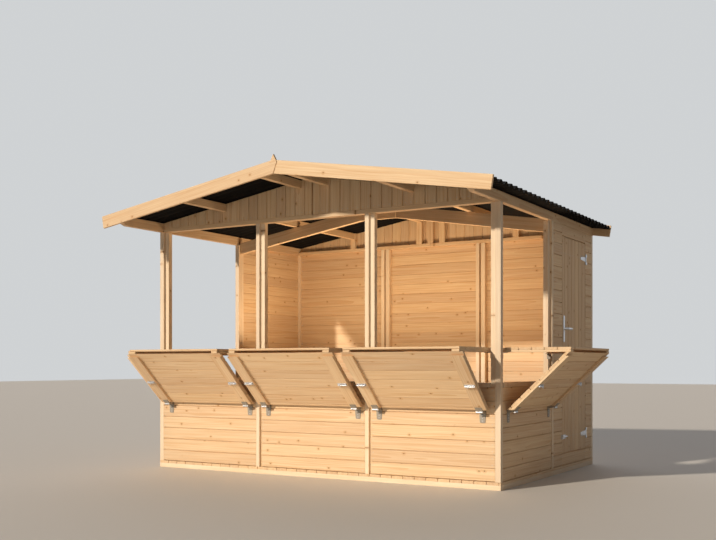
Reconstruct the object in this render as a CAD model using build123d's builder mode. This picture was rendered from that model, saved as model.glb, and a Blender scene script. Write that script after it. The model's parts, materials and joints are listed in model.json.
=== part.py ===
from build123d import *
from math import cos, pi, radians, sin, tan
import os

os.makedirs("parts", exist_ok=True)

# A wooden market stall of bolted wall panels under a low gabled roof.
# Front is -Y, the door is in the right wall (+X), the ground is Z = 0.
# Sizes are in millimetres.

# Wall modules
bay = 1075.0
front_bays = 3
side_bays = 2
corner_post = 45.0
board_t = 20.0
frame_d = 45.0
frame_w = 42.0
cover_w = 36.0
joint_groove = 20.0
rail_h = 34.0

# Heights
bearer_h = 38.0
floor_t = 22.0
board_cover = 100.0
sill_rows = 7
wall_top = 2130.0

# Floor frame
bearer_w = 60.0

# Roof
roof_pitch = 9.2
eave_plate_h = 73.0
eave_overhang = 170.0
front_overhang = 550.0
rear_overhang = 30.0
purlin_w = 45.0
purlin_d = 65.0
purlin_nose = 25.0
purlin_undercut = 70.0
ridge_purlin_x = 130.0
mid_purlin_x = 920.0
roof_waves = 29
wave_height = 26.0
wave_steps = 8
sheet_t = 3.0
cap_reach = 150.0
cap_t = 3.0
ridge_gap = 6.0
cap_clear = 0.3

# Gables, bargeboards and truss
gable_seam = 14.0
stud_w = 62.0
half_seam = 1.0
barge_t = 22.0
barge_d = 105.0
barge_rise = 41.0
tip_rise = 45.0
tip_half = 24.0
tip_reach = 34.0
tip_drop = 20.0
seam_clear = 5.0
truss_d = 110.0
truss_t = 45.0
splice_w = 380.0
splice_d = 110.0
splice_t = 22.0
splice_drop = 4.0

# Hatches: a sloping leaf and a counter that lies on it
hatch_side = 37.5
counter_side = 18.0
leaf_t = 18.0
batten_w = 100.0
batten_t = 18.0
batten_stop = 40.0
leaf_foot_z = 592.0
leaf_foot_out = 14.0
leaf_tilt = 43.5
counter_top = 1056.0
counter_lip = 4.0
front_counter_inside = 380.0
side_counter_inside = 12.0
counter_batten_w = 60.0

# Metal fittings of the hatches
hinge_w = 34.0
hinge_t = 4.0
hinge_drop = 115.0
hinge_strap = 70.0
hinge_inset = 60.0
bracket_w = 30.0
bracket_t = 4.0
bracket_h = 45.0
bracket_seat = 34.0
bolt_up = 250.0
bolt_len = 84.0
bolt_plate_w = 26.0
bolt_plate_t = 3.0

# Door
door_w = 635.0
door_header = 96.0
door_foot = 108.0
door_gap = 6.0
door_from_rear = 185.0
ledge_w = 110.0
ledge_t = 20.0
ledge_inset = 40.0
brace_w = 90.0
strap_len = 140.0
strap_w = 44.0
strap_t = 4.0
strap_end_z = 140.0
hinge_plate_h = 24.0
pin_r = 6.0
pin_gap = 0.4
handle_z = 1237.0
handle_inset = 42.0
plate_w = 38.0
plate_h = 230.0
plate_t = 4.0
lever_r = 10.0
lever_out = 48.0
lever_len = 85.0
slide_z = 123.0
slide_inset = 12.0
slide_w = 70.0
slide_h = 34.0
slide_t = 3.0
rod_r = 5.0
rod_len = 95.0
keeper_w = 14.0

# Worked-out places
width = front_bays * bay + 2 * corner_post
depth = side_bays * bay + 2 * corner_post
roof_length = front_overhang + depth + rear_overhang
front_face = front_overhang - roof_length / 2
rear_face = front_face + depth
half_w = width / 2
floor_top = bearer_h + floor_t
sill_foot = floor_top + sill_rows * board_cover
sill_top = sill_foot + rail_h
wall_d = board_t + frame_d
eave_height = wall_top + eave_plate_h
slope = tan(radians(roof_pitch))
ridge_z = eave_height + half_w * slope
roof_edge = half_w + eave_overhang
side_joint = front_face + corner_post + bay
hatch_w = bay - 2 * hatch_side
counter_w = bay - 2 * (frame_w + counter_side)


def sheet_under(x):
    """Height of the underside of the roof sheets at a distance x from the ridge."""
    return ridge_z - abs(x) * slope


def block(x0, x1, y0, y1, z0, z1):
    """A plain timber between two corners, added to the part being built."""
    with BuildSketch(Plane.XY.offset(z0)) as base:
        with Locations(((x0 + x1) / 2, (y0 + y1) / 2)):
            Rectangle(x1 - x0, y1 - y0)
    extrude(base.sketch, amount=z1 - z0)


def front_joint_x(i):
    """Line between front bay i - 1 and front bay i."""
    return -half_w + corner_post + i * bay


def save(part, name):
    part.label = name
    export_step(part, f"parts/{name}.step")


# Floor: a ring of bearers with two joists under the bay joints
with BuildPart() as floor_frame:
    block(-half_w, half_w, front_face, front_face + bearer_w, 0, bearer_h)
    block(-half_w, half_w, rear_face - bearer_w, rear_face, 0, bearer_h)
    for x in (-half_w + bearer_w / 2, front_joint_x(1), front_joint_x(2), half_w - bearer_w / 2):
        block(x - bearer_w / 2, x + bearer_w / 2, front_face, rear_face, 0, bearer_h)
save(floor_frame.part, "floor_frame")

with BuildPart() as floor_boards:
    block(-half_w, half_w, front_face, rear_face, bearer_h, floor_top)
save(floor_boards.part, "floor_boards")

# Posts: corners, then at each joint a flush cover post beside a frame post set back by the boards
with BuildPart() as corner_posts:
    for x in (-half_w, half_w - corner_post):
        for y in (front_face, rear_face - corner_post):
            block(x, x + corner_post, y, y + corner_post, floor_top, wall_top)
save(corner_posts.part, "corner_posts")

with BuildPart() as cover_posts:
    for i in range(1, front_bays):
        x = front_joint_x(i)
        block(x - cover_w, x, front_face, front_face + wall_d, floor_top, wall_top)
        block(x - cover_w, x, rear_face - wall_d, rear_face, floor_top, wall_top)
    for x in (-half_w, half_w - wall_d):
        block(x, x + wall_d, side_joint, side_joint + cover_w, floor_top, wall_top)
save(cover_posts.part, "cover_posts")

left_post_x = -half_w + corner_post
right_post_x = half_w - corner_post - frame_w
front_post_y = front_face + board_t
rear_post_y = rear_face - wall_d
with BuildPart() as frame_posts:
    for x in (left_post_x, front_joint_x(1), front_joint_x(2), right_post_x):
        block(x, x + frame_w, front_post_y, front_post_y + frame_d, floor_top, wall_top)
    for i in range(1, front_bays):
        x = front_joint_x(i) + joint_groove
        block(x, x + frame_w, rear_post_y, rear_post_y + frame_d, floor_top, wall_top)
    for x in (-half_w + board_t, half_w - wall_d):
        y = side_joint - frame_w
        block(x, x + frame_d, y, side_joint, floor_top, wall_top)
save(frame_posts.part, "frame_posts")


def front_bay_boards(i):
    """Left and right ends of the boards of front bay i."""
    left = front_joint_x(i) + (joint_groove if i > 0 else 0)
    right = front_joint_x(i + 1) - (cover_w if i < front_bays - 1 else 0)
    return left, right


def front_bay_clear(i):
    """Clear opening between the posts of front bay i."""
    right = front_joint_x(i + 1) - (cover_w if i < front_bays - 1 else frame_w)
    return front_joint_x(i) + frame_w, right


# Lower boards of the front, and the rails that cap them
with BuildPart() as front_boards:
    for i in range(front_bays):
        x0, x1 = front_bay_boards(i)
        block(x0, x1, front_face, front_face + board_t, floor_top, sill_foot)
save(front_boards.part, "front_boards")

side_clear_y0 = front_face + wall_d
side_clear_y1 = side_joint - frame_w
with BuildPart() as sill_rails:
    for i in range(front_bays):
        x0, x1 = front_bay_clear(i)
        block(x0, x1, front_face, front_face + wall_d, sill_foot, sill_top)
    for x in (-half_w, half_w - wall_d):
        block(x, x + wall_d, side_clear_y0, side_clear_y1, sill_foot, sill_top)
save(sill_rails.part, "sill_rails")

# Side walls: low boards under the hatches, full boards behind, a doorway on the right
side_boards_y0 = front_face + corner_post
side_boards_y1 = side_joint - joint_groove
for name, x in (("left_low_boards", -half_w), ("right_low_boards", half_w - board_t)):
    with BuildPart() as low_boards:
        block(x, x + board_t, side_boards_y0, side_boards_y1, floor_top, sill_foot)
    save(low_boards.part, name)

rear_bay_y0 = side_joint + cover_w
rear_bay_y1 = rear_face - corner_post
with BuildPart() as left_rear_boards:
    block(-half_w, -half_w + board_t, rear_bay_y0, rear_bay_y1, floor_top, wall_top)
save(left_rear_boards.part, "left_rear_boards")

door_y1 = rear_bay_y1 - door_from_rear
door_y0 = door_y1 - door_w
jamb_y0 = door_y0 - door_gap
jamb_y1 = door_y1 + door_gap
jamb_z0 = floor_top + door_foot - door_gap
jamb_z1 = wall_top - door_header
door_z0 = jamb_z0 + door_gap
door_z1 = jamb_z1 - door_gap
wall_x = half_w - board_t
with BuildPart() as door_side_boards:
    block(wall_x, half_w, rear_bay_y0, jamb_y0, floor_top, wall_top)
    block(wall_x, half_w, jamb_y1, rear_bay_y1, floor_top, wall_top)
save(door_side_boards.part, "door_side_boards")

with BuildPart() as door_top_boards:
    block(wall_x, half_w, jamb_y0, jamb_y1, jamb_z1, wall_top)
save(door_top_boards.part, "door_top_boards")

with BuildPart() as door_foot_boards:
    block(wall_x, half_w, jamb_y0, jamb_y1, floor_top, jamb_z0)
save(door_foot_boards.part, "door_foot_boards")

frame_x = half_w - wall_d
with BuildPart() as door_frame:
    block(frame_x, wall_x, jamb_y0 - frame_w, jamb_y0, floor_top, wall_top)
    block(frame_x, wall_x, jamb_y1, jamb_y1 + frame_w, floor_top, wall_top)
    block(frame_x, wall_x, jamb_y0, jamb_y1, jamb_z1, jamb_z1 + frame_w)
save(door_frame.part, "door_frame")

# Back wall of three closed bays, whose joint grooves show on the inside
with BuildPart() as back_boards:
    for i in range(front_bays):
        x0 = front_joint_x(i)
        x1 = front_bay_boards(i)[1]
        block(x0, x1, rear_face - board_t, rear_face, floor_top, wall_top)
save(back_boards.part, "back_boards")


def along_roof(y0, y1, *points, mode=Mode.ADD):
    """Extrude an X-Z outline from y0 to y1."""
    with BuildSketch(Plane.XZ.offset(-y1)) as outline:
        with BuildLine():
            Polyline(*points, close=True)
        make_face()
    extrude(outline.sketch, amount=y1 - y0, mode=mode)


def purlin_outline(x):
    """Section of the purlin on the right slope whose centre line is x, its top planed to the slope."""
    inner = x - purlin_w / 2
    outer = x + purlin_w / 2
    foot = sheet_under(inner) - purlin_d
    return (inner, foot), (outer, foot), (outer, sheet_under(outer)), (inner, sheet_under(inner))


# Purlins from the front bargeboard to the rear one
purlin_y0 = front_face - front_overhang + barge_t
purlin_y1 = rear_face + rear_overhang - barge_t
for name, x in (("ridge_purlins", ridge_purlin_x), ("mid_purlins", mid_purlin_x)):
    with BuildPart() as purlins:
        along_roof(purlin_y0, purlin_y1, *purlin_outline(x))
        mirror(about=Plane.YZ)
    save(purlins.part, name)

# Eave purlins on the side walls, undercut at the front so that the bargeboard hides their ends
eave_inner = half_w - purlin_w
with BuildPart() as eave_purlins:
    along_roof(
        purlin_y0,
        purlin_y1,
        (eave_inner, wall_top),
        (half_w, wall_top),
        (half_w, sheet_under(half_w)),
        (eave_inner, sheet_under(eave_inner)),
    )
    with BuildSketch(Plane.YZ.offset(eave_inner)):
        with BuildLine():
            Polyline(
                (purlin_y0, wall_top),
                (purlin_y0 + purlin_undercut, wall_top),
                (purlin_y0, wall_top + purlin_nose),
                close=True,
            )
        make_face()
    extrude(amount=purlin_w, mode=Mode.SUBTRACT)
    mirror(about=Plane.YZ)
save(eave_purlins.part, "eave_purlins")

# Gables: boards, a bottom rail and studs under the purlins, in two halves that meet at a middle stud
gable_foot = wall_top + rail_h
studs = [(half_seam / 2, stud_w / 2)]
studs += [(x - stud_w / 2, x + stud_w / 2) for x in (ridge_purlin_x, mid_purlin_x)]
for name, face, rail_y, stud_y in (
    ("front_gable", front_face, front_face, front_face + board_t),
    ("back_gable", rear_face - board_t, rear_face - wall_d, rear_face - wall_d),
):
    with BuildPart() as half_gable:
        along_roof(
            face,
            face + board_t,
            (gable_seam / 2, wall_top),
            (eave_inner, wall_top),
            (eave_inner, sheet_under(eave_inner)),
            (gable_seam / 2, sheet_under(gable_seam / 2)),
        )
        block(half_seam / 2, eave_inner, rail_y, rail_y + wall_d, wall_top, gable_foot)
        for x0, x1 in studs:
            foot = [(x0, gable_foot), (x1, gable_foot)]
            along_roof(stud_y, stud_y + frame_d, *foot, (x1, sheet_under(x1)), (x0, sheet_under(x0)))
        for x in (ridge_purlin_x, mid_purlin_x):
            along_roof(rail_y, rail_y + wall_d, *purlin_outline(x), mode=Mode.SUBTRACT)
    save(half_gable.part, name + "_right")
    with BuildPart() as other_half:
        mirror(half_gable.part, about=Plane.YZ)
    save(other_half.part, name + "_left")

# Inner truss of two boards under the purlins, joined by a splice board
truss_end = half_w - wall_d


def truss_top(x):
    return sheet_under(x) - purlin_d


with BuildPart() as truss_right:
    along_roof(
        side_joint - truss_t / 2,
        side_joint + truss_t / 2,
        (half_seam / 2, truss_top(half_seam / 2) - truss_d),
        (truss_end, truss_top(truss_end) - truss_d),
        (truss_end, truss_top(truss_end)),
        (half_seam / 2, truss_top(half_seam / 2)),
    )
save(truss_right.part, "truss_right")
with BuildPart() as truss_left:
    mirror(truss_right.part, about=Plane.YZ)
save(truss_left.part, "truss_left")

splice_y = side_joint - truss_t / 2 - splice_t
splice_top = truss_top(splice_w / 2) - splice_drop
with BuildPart() as truss_splice:
    block(-splice_w / 2, splice_w / 2, splice_y, splice_y + splice_t, splice_top - splice_d, splice_top)
save(truss_splice.part, "truss_splice")

# Bargeboards, cut square at the eaves: the left one ends in a small pointed tip and reaches over the ridge line
barge_plumb = barge_d / cos(radians(roof_pitch))
barge_end_x = roof_edge - barge_d * sin(radians(roof_pitch))
seam_top = tip_reach * tip_rise / (tip_rise + tip_drop) + seam_clear


def barge_top(x):
    return sheet_under(x) + barge_rise


for name, y in (
    ("front_bargeboard", front_face - front_overhang),
    ("rear_bargeboard", rear_face + rear_overhang - barge_t),
):
    with BuildPart() as barge_left:
        along_roof(
            y,
            y + barge_t,
            (-barge_end_x, barge_top(barge_end_x) - barge_plumb),
            (-roof_edge, barge_top(roof_edge)),
            (-tip_half, barge_top(tip_half)),
            (0, barge_top(0) + tip_rise),
            (tip_reach, barge_top(0) - tip_drop),
            (0, barge_top(0) - barge_plumb),
        )
    save(barge_left.part, name + "_left")
    with BuildPart() as barge_right:
        along_roof(
            y,
            y + barge_t,
            (seam_clear, barge_top(seam_clear) - barge_plumb),
            (barge_end_x, barge_top(barge_end_x) - barge_plumb),
            (roof_edge, barge_top(roof_edge)),
            (seam_top, barge_top(seam_top)),
            (tip_reach + seam_clear, barge_top(0) - tip_drop),
        )
    save(barge_right.part, name + "_right")

# Corrugated roof sheets: one wave outline swept down each slope
sheet_y0 = front_face - front_overhang + barge_t
sheet_y1 = rear_face + rear_overhang - barge_t
wave_pitch = (sheet_y1 - sheet_y0) / roof_waves
pitch_dir = (cos(radians(roof_pitch)), 0, -sin(radians(roof_pitch)))
sheet_start = ridge_gap / 2
sheet_run = (roof_edge - sheet_start) / cos(radians(roof_pitch))
sheet_plane = Plane(
    origin=(sheet_start, 0, sheet_under(sheet_start)), x_dir=(0, 1, 0), z_dir=pitch_dir
)


def wave_line(foot):
    """Sine wave that rises from its troughs at height foot, from the front to the rear."""
    line = []
    for i in range(roof_waves * wave_steps + 1):
        swing = sin(2 * pi * i / wave_steps)
        line.append((sheet_y0 + i * wave_pitch / wave_steps, foot + wave_height / 2 * (1 + swing)))
    return line


with BuildPart() as roof_sheet_right:
    with BuildSketch(sheet_plane):
        with BuildLine():
            Polyline(*wave_line(0), *reversed(wave_line(sheet_t)), close=True)
        make_face()
    extrude(amount=sheet_run)
save(roof_sheet_right.part, "roof_sheet_right")
with BuildPart() as roof_sheet_left:
    mirror(roof_sheet_right.part, about=Plane.YZ)
save(roof_sheet_left.part, "roof_sheet_left")

cap_rise = (wave_height + sheet_t) / cos(radians(roof_pitch)) + cap_clear
with BuildPart() as ridge_cap:
    along_roof(
        sheet_y0,
        sheet_y1,
        (-cap_reach, sheet_under(cap_reach) + cap_rise),
        (0, ridge_z + cap_rise),
        (cap_reach, sheet_under(cap_reach) + cap_rise),
        (cap_reach, sheet_under(cap_reach) + cap_rise + cap_t),
        (0, ridge_z + cap_rise + cap_t),
        (-cap_reach, sheet_under(cap_reach) + cap_rise + cap_t),
    )
save(ridge_cap.part, "ridge_cap")

# Hatch geometry in a plane square to the wall: out from the wall face, and up
tilt = radians(leaf_tilt)
counter_z = counter_top - leaf_t
counter_foot = counter_z - batten_t
leaf_rise = counter_foot - leaf_foot_z
leaf_out = leaf_foot_out + leaf_rise / tan(tilt)


def bay_plane(outward, x, y):
    """Plane square to a wall through a bay's middle: first axis outward, second axis up."""
    out = Vector(*outward)
    return Plane(origin=(x, y, 0), x_dir=out, z_dir=out.cross(Vector(0, 0, 1)))


def leaf_band(near, far, foot, top):
    """Outline of a board on the leaf between two depths below its upper face, cut level at the top."""
    band = []
    for layer, height in ((near, foot), (near, top), (far, top), (far, foot)):
        run = (height - leaf_foot_z) / tan(tilt)
        band.append((leaf_foot_out + run + layer / sin(tilt), height))
    return band


def slab(plane, centre, width_along, points):
    """Extrude an outline by equal amounts to both sides of a place along the wall."""
    with BuildSketch(plane.offset(centre)) as outline:
        with BuildLine():
            Polyline(*points, close=True)
        make_face()
    extrude(outline.sketch, amount=width_along / 2, both=True)


front_centres = [(front_joint_x(i) + front_joint_x(i + 1)) / 2 for i in range(front_bays)]
side_centre = (front_face + corner_post + side_joint) / 2
front_planes = [bay_plane((0, -1, 0), x, front_face) for x in front_centres]
right_plane = bay_plane((1, 0, 0), half_w, side_centre)
left_plane = bay_plane((-1, 0, 0), -half_w, side_centre)
hatch_sets = (
    ("front_hatch", front_planes, front_counter_inside),
    ("right_hatch", [right_plane], side_counter_inside),
    ("left_hatch", [left_plane], side_counter_inside),
)
batten_top = counter_foot - batten_stop * sin(tilt)
counter_out = leaf_out + leaf_t / sin(tilt) + counter_lip
for name, planes, inside in hatch_sets:
    with BuildPart() as leaf:
        for plane in planes:
            slab(plane, 0, hatch_w, leaf_band(0, leaf_t, leaf_foot_z, counter_foot))
            for side in (-1, 1):
                at = side * (hatch_w - batten_w) / 2
                slab(plane, at, batten_w, leaf_band(leaf_t, leaf_t + batten_t, leaf_foot_z, batten_top))
    save(leaf.part, name + "_leaf")
    with BuildPart() as counter:
        for plane in planes:
            box = [(-inside, counter_z), (counter_out, counter_z)]
            box += [(counter_out, counter_top), (-inside, counter_top)]
            slab(plane, 0, counter_w, box)
            strip = [(-inside, counter_foot), (counter_out, counter_foot)]
            strip += [(counter_out, counter_z), (-inside, counter_z)]
            for side in (-1, 1):
                at = side * (counter_w - counter_batten_w) / 2
                slab(plane, at, counter_batten_w, strip)
    save(counter.part, name + "_counter")

all_planes = front_planes + [right_plane, left_plane]
under = leaf_t + batten_t
strap_far = leaf_foot_z + hinge_strap * sin(tilt)
with BuildPart() as hatch_hinges:
    for plane in all_planes:
        for side in (-1, 1):
            at = side * (hatch_w / 2 - hinge_inset)
            wall_leg = [(0, leaf_foot_z), (hinge_t, leaf_foot_z)]
            wall_leg += [(hinge_t, leaf_foot_z - hinge_drop), (0, leaf_foot_z - hinge_drop)]
            slab(plane, at, hinge_w, wall_leg)
            slab(plane, at, hinge_w, leaf_band(under, under + hinge_t, leaf_foot_z - hinge_t, strap_far))
            knee = [(0, leaf_foot_z), (leaf_foot_out + (under + hinge_t) / sin(tilt), leaf_foot_z)]
            knee += [(leaf_foot_out + under / sin(tilt), leaf_foot_z - hinge_t * 3)]
            knee += [(hinge_t, leaf_foot_z - hinge_t * 6), (0, leaf_foot_z - hinge_t * 6)]
            slab(plane, at, hinge_w, knee)
save(hatch_hinges.part, "hatch_hinges")

with BuildPart() as hatch_bolts:
    for plane in all_planes:
        for side in (-1, 1):
            at = side * (hatch_w - batten_w) / 2
            foot = leaf_foot_z + bolt_up * sin(tilt)
            head = foot + bolt_plate_w * sin(tilt)
            slab(plane, at, bolt_len, leaf_band(under, under + bolt_plate_t, foot, head))
save(hatch_bolts.part, "hatch_bolts")

# Angle brackets on the posts carry the inner ends of the counters


def bracket(post, seat, near, far, across):
    """A leg on a post face and a flange from it under the counter, along X or across it along Y."""
    low, high = min(post, seat), max(post, seat)
    leg = (post, post + bracket_t) if seat > post else (post - bracket_t, post)
    spans = [(low, high, counter_foot - bracket_t, counter_foot)]
    spans += [(*leg, counter_foot - bracket_h, counter_foot)]
    for start, end, z0, z1 in spans:
        if across:
            block(near, far, start, end, z0, z1)
        else:
            block(start, end, near, far, z0, z1)


seat_from_middle = counter_w / 2 - bracket_seat
with BuildPart() as counter_brackets:
    for i in range(front_bays):
        x0, x1 = front_bay_clear(i)
        near = front_face + board_t
        bracket(x0, front_centres[i] - seat_from_middle, near, near + bracket_w, False)
        bracket(x1, front_centres[i] + seat_from_middle, near, near + bracket_w, False)
    for near in (-half_w, half_w - bracket_w):
        bracket(side_boards_y0, side_centre - seat_from_middle, near, near + bracket_w, True)
        bracket(side_clear_y1, side_centre + seat_from_middle, near, near + bracket_w, True)
save(counter_brackets.part, "counter_brackets")

# Door: vertical boards on two ledges and a brace, hung on strap hinges at its rear edge
door_mid_y = (door_y0 + door_y1) / 2
ledge_low = door_z0 + strap_end_z
ledge_high = door_z1 - strap_end_z
ledge_y0 = door_y0 + ledge_inset
ledge_y1 = door_y1 - ledge_inset
ledge_x = wall_x - ledge_t
with BuildPart() as door_leaf:
    block(wall_x, half_w, door_y0, door_y1, door_z0, door_z1)
    for z in (ledge_low, ledge_high):
        block(ledge_x, wall_x, ledge_y0, ledge_y1, z - ledge_w / 2, z + ledge_w / 2)
    brace_foot = ledge_low + ledge_w / 2
    brace_head = ledge_high - ledge_w / 2
    with BuildSketch(Plane.YZ.offset(ledge_x)):
        with BuildLine():
            Polyline(
                (ledge_y1, brace_foot),
                (ledge_y0 + brace_w, brace_head),
                (ledge_y0, brace_head),
                (ledge_y1 - brace_w, brace_foot),
                close=True,
            )
        make_face()
    extrude(amount=ledge_t)
save(door_leaf.part, "door_leaf")

pin_x = half_w + pin_r
pin_y = door_y1 + door_gap / 2
with BuildPart() as door_straps:
    for z in (ledge_low, ledge_high):
        with BuildSketch(Plane.YZ.offset(half_w)):
            with BuildLine():
                Polyline(
                    (pin_y, z - strap_w / 2),
                    (pin_y, z + strap_w / 2),
                    (pin_y - strap_len, z + strap_w / 4),
                    (pin_y - strap_len, z - strap_w / 4),
                    close=True,
                )
            make_face()
        extrude(amount=strap_t)
        with BuildSketch(Plane.XY.offset(z - strap_w / 2)):
            with Locations((pin_x, pin_y)):
                Circle(pin_r)
        extrude(amount=strap_w)
save(door_straps.part, "door_straps")

with BuildPart() as door_hinge_plates:
    for z in (ledge_low, ledge_high):
        for side in (-1, 1):
            z0 = z + side * (strap_w / 2 + pin_gap)
            z1 = z0 + side * hinge_plate_h
            low, high = min(z0, z1), max(z0, z1)
            block(half_w, half_w + strap_t, jamb_y1, jamb_y1 + frame_w, low, high)
            with BuildSketch(Plane.XY.offset(low)):
                with Locations((pin_x, pin_y)):
                    Circle(pin_r)
            extrude(amount=high - low)
save(door_hinge_plates.part, "door_hinge_plates")

handle_y = door_y0 + handle_inset
with BuildPart() as door_handle:
    with BuildSketch(Plane.YZ.offset(half_w)):
        with Locations((handle_y, handle_z)):
            RectangleRounded(plate_w, plate_h, plate_w / 2 - 1)
    extrude(amount=plate_t)
    with BuildSketch(Plane.YZ.offset(half_w + plate_t)):
        with Locations((handle_y, handle_z)):
            Circle(lever_r)
    extrude(amount=lever_out)
    with BuildSketch(Plane.XZ.offset(-handle_y)):
        with Locations((half_w + plate_t + lever_out - lever_r, handle_z)):
            Circle(lever_r)
    extrude(amount=-lever_len)
save(door_handle.part, "door_handle")

# Slide bolt near the foot of the door, drawn back, and its keeper on the wall
slide_y = door_y0 + slide_inset
slide_foot = door_z0 + slide_z
rod_x = half_w + slide_t + rod_r
with BuildPart() as door_bolt:
    block(half_w, half_w + slide_t, slide_y, slide_y + slide_w, slide_foot, slide_foot + slide_h)
    with BuildSketch(Plane.XZ.offset(-slide_y)):
        with Locations((rod_x, slide_foot + slide_h / 2)):
            Circle(rod_r)
    extrude(amount=-rod_len)
save(door_bolt.part, "door_bolt")

with BuildPart() as bolt_keeper:
    keeper_y = jamb_y0 - slide_inset - keeper_w
    keeper_out = slide_t + 3 * rod_r
    block(half_w, half_w + keeper_out, keeper_y, keeper_y + keeper_w, slide_foot, slide_foot + slide_h)
    with BuildSketch(Plane.XZ.offset(-keeper_y)):
        with Locations((rod_x, slide_foot + slide_h / 2)):
            Circle(rod_r + pin_gap)
    extrude(amount=-keeper_w, mode=Mode.SUBTRACT)
save(bolt_keeper.part, "bolt_keeper")
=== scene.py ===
"""Wooden market stall: its boards, timbers, fittings, roof and studio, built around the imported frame."""

import json
import math
import random

import bmesh
import bpy
import numpy as np
from mathutils import Matrix, Vector


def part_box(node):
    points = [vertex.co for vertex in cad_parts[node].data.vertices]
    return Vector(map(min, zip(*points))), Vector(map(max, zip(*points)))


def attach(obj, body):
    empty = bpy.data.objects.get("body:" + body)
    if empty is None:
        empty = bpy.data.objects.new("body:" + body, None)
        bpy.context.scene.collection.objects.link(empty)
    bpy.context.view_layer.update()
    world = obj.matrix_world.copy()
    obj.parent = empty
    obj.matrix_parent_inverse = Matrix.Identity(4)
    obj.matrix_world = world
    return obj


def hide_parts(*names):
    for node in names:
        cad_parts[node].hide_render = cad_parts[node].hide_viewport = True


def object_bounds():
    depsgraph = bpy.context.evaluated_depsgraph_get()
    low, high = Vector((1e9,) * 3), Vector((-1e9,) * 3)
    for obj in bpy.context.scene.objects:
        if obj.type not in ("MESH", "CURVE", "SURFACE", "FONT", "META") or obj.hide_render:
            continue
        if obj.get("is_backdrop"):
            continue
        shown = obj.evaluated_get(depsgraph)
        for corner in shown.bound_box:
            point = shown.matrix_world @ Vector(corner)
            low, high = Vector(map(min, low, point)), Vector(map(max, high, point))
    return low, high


bl_info = {
    "name": "Wooden market stall",
    "version": (1, 0, 0),
    "blender": (4, 5, 0),
    "location": "3D View > Sidebar > Stall",
    "description": "Boards, timbers, fittings and roof of a wooden market stall around its frame",
    "category": "Add Mesh",
}

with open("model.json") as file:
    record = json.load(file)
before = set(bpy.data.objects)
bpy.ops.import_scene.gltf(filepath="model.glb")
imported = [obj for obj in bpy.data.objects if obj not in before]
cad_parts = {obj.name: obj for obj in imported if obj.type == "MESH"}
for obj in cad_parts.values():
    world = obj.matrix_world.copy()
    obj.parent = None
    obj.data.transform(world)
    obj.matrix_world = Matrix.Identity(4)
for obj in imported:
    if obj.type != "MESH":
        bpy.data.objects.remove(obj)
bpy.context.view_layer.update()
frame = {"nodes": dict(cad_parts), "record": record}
door_nodes = frame["record"]["behaviour"]["bodies"]["door"]

X = Vector((1, 0, 0))
Y = Vector((0, 1, 0))
Z = Vector((0, 0, 1))

# Two places that are nearer than this lie on one plane
SAME_PLANE = 0.0003
# A hair of clearance between two parts sawn from one panel
PAPER = 0.0001
# Thickness of the steel of the hinges and straps
PLATE = 0.004
# The hatches, each with the way that its wall faces
HATCH_SIDES = (("front_hatch", -Y), ("right_hatch", X), ("left_hatch", -X))


def linear(hex_colour):
    """An sRGB hex colour such as #E6BE8A as linear red, green, blue and alpha."""
    parts = [int(hex_colour[i : i + 2], 16) / 255 for i in (1, 3, 5)]
    return [p / 12.92 if p <= 0.04045 else ((p + 0.055) / 1.055) ** 2.4 for p in parts] + [1.0]


def amount(name, description, default, **kind):
    """A number for the sidebar."""
    return bpy.props.FloatProperty(name=name, description=description, default=default, **kind)


def length(name, description, default):
    """A length for the sidebar."""
    return amount(name, description, default, unit="LENGTH")


def colour(name, description, hex_colour):
    """A colour for the sidebar."""
    return bpy.props.FloatVectorProperty(
        name=name,
        description=description,
        subtype="COLOR",
        size=4,
        min=0,
        max=1,
        default=linear(hex_colour),
    )


class StallSizes(bpy.types.PropertyGroup):
    """Sizes of the boards, timbers and fittings"""

    wall_board: length("Wall board", "Thickness of the wall, gable and door boards", 0.02)
    hatch_board: length("Hatch board", "Thickness of the hatch boards", 0.018)
    wall_cover: length("Wall board cover", "Height that one wall board covers", 0.1)
    upright_cover: length("Upright board cover", "Width that one gable or door board covers", 0.096)
    hatch_cover: length("Hatch board cover", "Width that one hatch board covers", 0.1)
    floor_cover: length("Floor board cover", "Width that one floor board covers", 0.1)
    floor_gap: length("Floor board gap", "Open joint between two floor boards", 0.005)
    # The real joints are about 1 mm wide, too fine to show, so they are drawn 3 mm wide
    joint: length("Board joint", "Open joint in front of the tongue between two boards", 0.003)
    wall_ease: length("Outer board bevel", "Bevel along the outer edges of a wall board", 0.0055)
    inner_ease: length("Inner board bevel", "Bevel along the inner edges of a board", 0.0035)
    end_ease: length("Board end bevel", "Bevel across the ends of a board", 0.0012)
    hatch_ease: length("Hatch board rounding", "Rounding along the upper edges of a hatch board", 0.0095)
    timber_ease: length("Timber bevel", "Bevel along the edges of a planed timber", 0.0025)
    metal_ease: length("Metal bevel", "Bevel along the edges of a metal fitting", 0.0008)
    tongue_stop: length("Tongue stop", "How far a tongue stops short of the end of its board", 0.014)
    foot_gap: length("Foot gap", "Open gap under the lowest board of a wall", 0.004)
    nail_head: length("Nail head", "Radius of a flat nail head", 0.0032)
    screw_head: length("Screw head", "Radius of a pan screw head", 0.0042)
    roof_cap: length("Roof nail cap", "Radius of the sealing cap on a roof nail", 0.012)
    hinge_width: length("Hinge width", "Width of a hatch hinge at its barrel", 0.054)
    hinge_raise: length("Hinge plate shortening", "Length taken off the plate on the wall", 0.018)
    strap_cut: length("Hinge strap shortening", "Length taken off the strap on the leaf", 0.04)
    hinge_corner: length("Hinge corner", "Rounding at the lower corners of a hatch hinge", 0.009)
    bolt_rod: length("Bolt rod", "Radius of the rod of a barrel bolt", 0.0048)


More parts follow.
